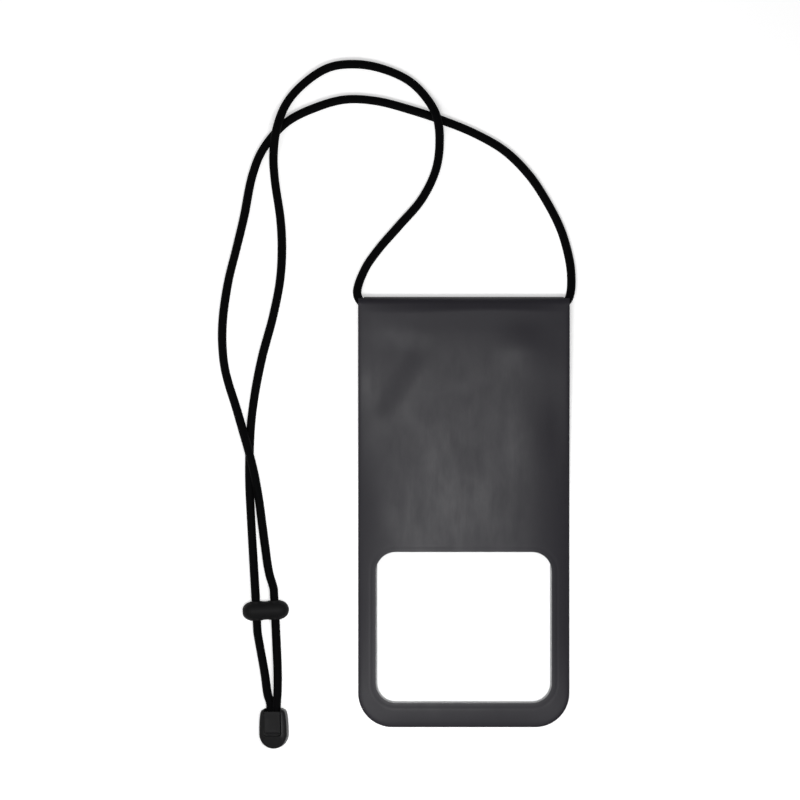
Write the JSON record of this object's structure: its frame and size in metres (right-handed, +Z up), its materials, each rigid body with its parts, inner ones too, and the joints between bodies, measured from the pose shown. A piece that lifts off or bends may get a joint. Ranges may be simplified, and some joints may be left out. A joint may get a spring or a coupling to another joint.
{
  "type": "waterproof phone pouch",
  "caption": "Flat black film pouch with a clear camera window, a rolled press-seal mouth and a neck cord with slider and cord end.",
  "frame": {"origin": "on the surface the pouch lies on, under the middle of the pouch without its neck cord", "axes": "+X across the pouch, +Y along it towards the rolled fold, +Z up out of the camera side"},
  "size_m": [0.1774, 0.3419, 0.0106],
  "materials": {
    "black_sheet": "satin black thermoplastic sheet",
    "clear_film": "clear gloss film",
    "seal_strip": "translucent extruded strip",
    "hook_and_loop": "black hook and loop tape",
    "cord": "black braided cord",
    "moulded_black": "moulded black plastic, soft gloss"
  },
  "bodies": {
    "pouch": {"back_panel": "black_sheet", "camera_window": "clear_film", "display_window": "clear_film", "front_frame": "black_sheet", "hook_strip": "hook_and_loop", "loop_strip": "hook_and_loop", "zip_groove_strip": "seal_strip", "zip_rib_strip": "seal_strip", "cord_sleeve": "black_sheet", "neck_cord": "cord", "cord_end_body": "moulded_black", "cord_end_lid": "moulded_black"},
    "slider": {"cord_slider": "moulded_black"}
  },
  "joints": [
    {"name": "slider_slide", "type": "slide", "parent": "pouch", "child": "slider", "axis": [0.0523, -0.9986, 0], "range_m": [-0.003, 0.003]}
  ]
}
